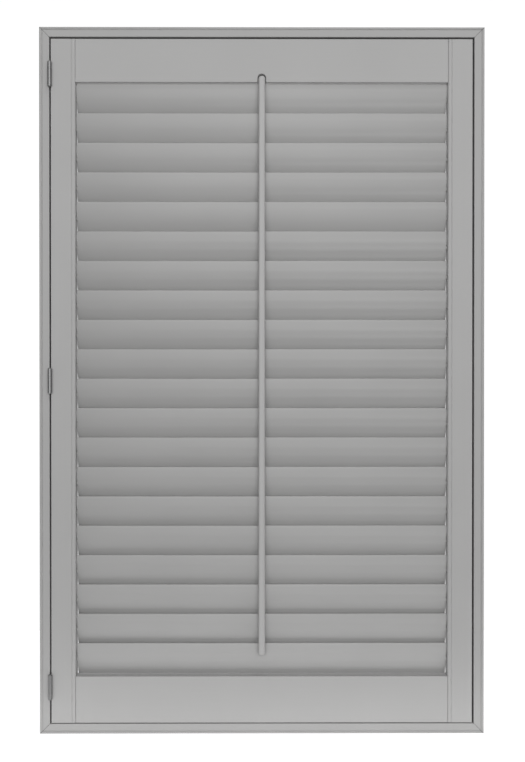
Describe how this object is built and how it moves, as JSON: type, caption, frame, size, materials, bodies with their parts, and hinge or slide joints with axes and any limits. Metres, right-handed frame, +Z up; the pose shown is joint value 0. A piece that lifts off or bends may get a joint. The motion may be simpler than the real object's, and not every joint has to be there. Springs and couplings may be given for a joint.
{
  "type": "louvred shutter",
  "caption": "Painted window shutter: a hinged panel of elliptical louvres with a central tilt rod, in a mitred frame with a light stop.",
  "frame": {"origin": "middle of the frame's bottom face, halfway through the frame's depth", "axes": "+X to the right seen from the room, -Y towards the room (the front), +Z up"},
  "size_m": [0.86, 0.0583, 1.366],
  "materials": {
    "painted_wood": "satin grey paint over primed wood",
    "satin_steel": "satin-plated steel hinge leaves and pins",
    "zinc_steel": "bright zinc plate",
    "nylon": "moulded nylon pivot pins, with a bright steel wire staple",
    "beech": "bare planed beech"
  },
  "bodies": {
    "frame": {"frame_left": "painted_wood", "frame_right": "painted_wood", "frame_top": "painted_wood", "frame_bottom": "painted_wood", "frame_corner_keys": "beech", "hinge_frame_leaves": "satin_steel", "hinge_pins": "satin_steel", "frame_screws": "zinc_steel", "magnet_catches": "zinc_steel"},
    "panel": {"stile_left": "painted_wood", "stile_right": "painted_wood", "top_rail": "painted_wood", "bottom_rail": "painted_wood", "rail_dowels": "beech", "hinge_panel_leaves": "satin_steel", "panel_screws": "zinc_steel", "strike_plates": "zinc_steel", "tension_screws": "zinc_steel"},
    "louvre_01": {"louvre_01": "painted_wood", "louvre_01_fittings": "nylon"},
    "louvre_02": {"louvre_02": "painted_wood", "louvre_02_fittings": "nylon"},
    "louvre_03": {"louvre_03": "painted_wood", "louvre_03_fittings": "nylon"},
    "louvre_04": {"louvre_04": "painted_wood", "louvre_04_fittings": "nylon"},
    "louvre_05": {"louvre_05": "painted_wood", "louvre_05_fittings": "nylon"},
    "louvre_06": {"louvre_06": "painted_wood", "louvre_06_fittings": "nylon"},
    "louvre_07": {"louvre_07": "painted_wood", "louvre_07_fittings": "nylon"},
    "louvre_08": {"louvre_08": "painted_wood", "louvre_08_fittings": "nylon"},
    "louvre_09": {"louvre_09": "painted_wood", "louvre_09_fittings": "nylon"},
    "louvre_10": {"louvre_10": "painted_wood", "louvre_10_fittings": "nylon"},
    "louvre_11": {"louvre_11": "painted_wood", "louvre_11_fittings": "nylon"},
    "louvre_12": {"louvre_12": "painted_wood", "louvre_12_fittings": "nylon"},
    "louvre_13": {"louvre_13": "painted_wood", "louvre_13_fittings": "nylon"},
    "louvre_14": {"louvre_14": "painted_wood", "louvre_14_fittings": "nylon"},
    "louvre_15": {"louvre_15": "painted_wood", "louvre_15_fittings": "nylon"},
    "louvre_16": {"louvre_16": "painted_wood", "louvre_16_fittings": "nylon"},
    "louvre_17": {"louvre_17": "painted_wood", "louvre_17_fittings": "nylon"},
    "louvre_18": {"louvre_18": "painted_wood", "louvre_18_fittings": "nylon"},
    "louvre_19": {"louvre_19": "painted_wood", "louvre_19_fittings": "nylon"},
    "louvre_20": {"louvre_20": "painted_wood", "louvre_20_fittings": "nylon"},
    "tilt_rod": {"tilt_rod": "painted_wood", "rod_staples": "zinc_steel"}
  },
  "joints": [
    {"name": "panel_swing", "type": "hinge", "parent": "frame", "child": "panel", "pos_m": [-0.40865, -0.0293, 0.683], "axis": [0, 0, -1], "range_deg": [0, 170]},
    {"name": "louvre_01_tilt", "type": "hinge", "parent": "panel", "child": "louvre_01", "pos_m": [-0.0003, -0.0115, 1.22675], "axis": [1, 0, 0], "range_deg": [0, 140]},
    {"name": "louvre_02_tilt", "type": "hinge", "parent": "panel", "child": "louvre_02", "pos_m": [-0.0003, -0.0115, 1.16975], "axis": [1, 0, 0], "range_deg": [0, 140]},
    {"name": "louvre_03_tilt", "type": "hinge", "parent": "panel", "child": "louvre_03", "pos_m": [-0.0003, -0.0115, 1.11275], "axis": [1, 0, 0], "range_deg": [0, 140]},
    {"name": "louvre_04_tilt", "type": "hinge", "parent": "panel", "child": "louvre_04", "pos_m": [-0.0003, -0.0115, 1.05575], "axis": [1, 0, 0], "range_deg": [0, 140]},
    {"name": "louvre_05_tilt", "type": "hinge", "parent": "panel", "child": "louvre_05", "pos_m": [-0.0003, -0.0115, 0.99875], "axis": [1, 0, 0], "range_deg": [0, 140]},
    {"name": "louvre_06_tilt", "type": "hinge", "parent": "panel", "child": "louvre_06", "pos_m": [-0.0003, -0.0115, 0.94175], "axis": [1, 0, 0], "range_deg": [0, 140]},
    {"name": "louvre_07_tilt", "type": "hinge", "parent": "panel", "child": "louvre_07", "pos_m": [-0.0003, -0.0115, 0.88475], "axis": [1, 0, 0], "range_deg": [0, 140]},
    {"name": "louvre_08_tilt", "type": "hinge", "parent": "panel", "child": "louvre_08", "pos_m": [-0.0003, -0.0115, 0.82775], "axis": [1, 0, 0], "range_deg": [0, 140]},
    {"name": "louvre_09_tilt", "type": "hinge", "parent": "panel", "child": "louvre_09", "pos_m": [-0.0003, -0.0115, 0.77075], "axis": [1, 0, 0], "range_deg": [0, 140]},
    {"name": "louvre_10_tilt", "type": "hinge", "parent": "panel", "child": "louvre_10", "pos_m": [-0.0003, -0.0115, 0.71375], "axis": [1, 0, 0], "range_deg": [0, 140]},
    {"name": "louvre_11_tilt", "type": "hinge", "parent": "panel", "child": "louvre_11", "pos_m": [-0.0003, -0.0115, 0.65675], "axis": [1, 0, 0], "range_deg": [0, 140]},
    {"name": "louvre_12_tilt", "type": "hinge", "parent": "panel", "child": "louvre_12", "pos_m": [-0.0003, -0.0115, 0.59975], "axis": [1, 0, 0], "range_deg": [0, 140]},
    {"name": "louvre_13_tilt", "type": "hinge", "parent": "panel", "child": "louvre_13", "pos_m": [-0.0003, -0.0115, 0.54275], "axis": [1, 0, 0], "range_deg": [0, 140]},
    {"name": "louvre_14_tilt", "type": "hinge", "parent": "panel", "child": "louvre_14", "pos_m": [-0.0003, -0.0115, 0.48575], "axis": [1, 0, 0], "range_deg": [0, 140]},
    {"name": "louvre_15_tilt", "type": "hinge", "parent": "panel", "child": "louvre_15", "pos_m": [-0.0003, -0.0115, 0.42875], "axis": [1, 0, 0], "range_deg": [0, 140]},
    {"name": "louvre_16_tilt", "type": "hinge", "parent": "panel", "child": "louvre_16", "pos_m": [-0.0003, -0.0115, 0.37175], "axis": [1, 0, 0], "range_deg": [0, 140]},
    {"name": "louvre_17_tilt", "type": "hinge", "parent": "panel", "child": "louvre_17", "pos_m": [-0.0003, -0.0115, 0.31475], "axis": [1, 0, 0], "range_deg": [0, 140]},
    {"name": "louvre_18_tilt", "type": "hinge", "parent": "panel", "child": "louvre_18", "pos_m": [-0.0003, -0.0115, 0.25775], "axis": [1, 0, 0], "range_deg": [0, 140]},
    {"name": "louvre_19_tilt", "type": "hinge", "parent": "panel", "child": "louvre_19", "pos_m": [-0.0003, -0.0115, 0.20075], "axis": [1, 0, 0], "range_deg": [0, 140]},
    {"name": "louvre_20_tilt", "type": "hinge", "parent": "panel", "child": "louvre_20", "pos_m": [-0.0003, -0.0115, 0.14375], "axis": [1, 0, 0], "range_deg": [0, 140]},
    {"name": "rod_pivot", "type": "hinge", "parent": "louvre_10", "child": "tilt_rod", "pos_m": [-0.0003, -0.01942, 0.74805], "axis": [1, 0, 0], "range_deg": [-140, 0]}
  ],
  "couplings": [
    {"joint": "louvre_01_tilt", "follows": "louvre_10_tilt", "ratio": 1},
    {"joint": "louvre_02_tilt", "follows": "louvre_10_tilt", "ratio": 1},
    {"joint": "louvre_03_tilt", "follows": "louvre_10_tilt", "ratio": 1},
    {"joint": "louvre_04_tilt", "follows": "louvre_10_tilt", "ratio": 1},
    {"joint": "louvre_05_tilt", "follows": "louvre_10_tilt", "ratio": 1},
    {"joint": "louvre_06_tilt", "follows": "louvre_10_tilt", "ratio": 1},
    {"joint": "louvre_07_tilt", "follows": "louvre_10_tilt", "ratio": 1},
    {"joint": "louvre_08_tilt", "follows": "louvre_10_tilt", "ratio": 1},
    {"joint": "louvre_09_tilt", "follows": "louvre_10_tilt", "ratio": 1},
    {"joint": "louvre_11_tilt", "follows": "louvre_10_tilt", "ratio": 1},
    {"joint": "louvre_12_tilt", "follows": "louvre_10_tilt", "ratio": 1},
    {"joint": "louvre_13_tilt", "follows": "louvre_10_tilt", "ratio": 1},
    {"joint": "louvre_14_tilt", "follows": "louvre_10_tilt", "ratio": 1},
    {"joint": "louvre_15_tilt", "follows": "louvre_10_tilt", "ratio": 1},
    {"joint": "louvre_16_tilt", "follows": "louvre_10_tilt", "ratio": 1},
    {"joint": "louvre_17_tilt", "follows": "louvre_10_tilt", "ratio": 1},
    {"joint": "louvre_18_tilt", "follows": "louvre_10_tilt", "ratio": 1},
    {"joint": "louvre_19_tilt", "follows": "louvre_10_tilt", "ratio": 1},
    {"joint": "louvre_20_tilt", "follows": "louvre_10_tilt", "ratio": 1},
    {"joint": "rod_pivot", "follows": "louvre_10_tilt", "ratio": -1}
  ]
}
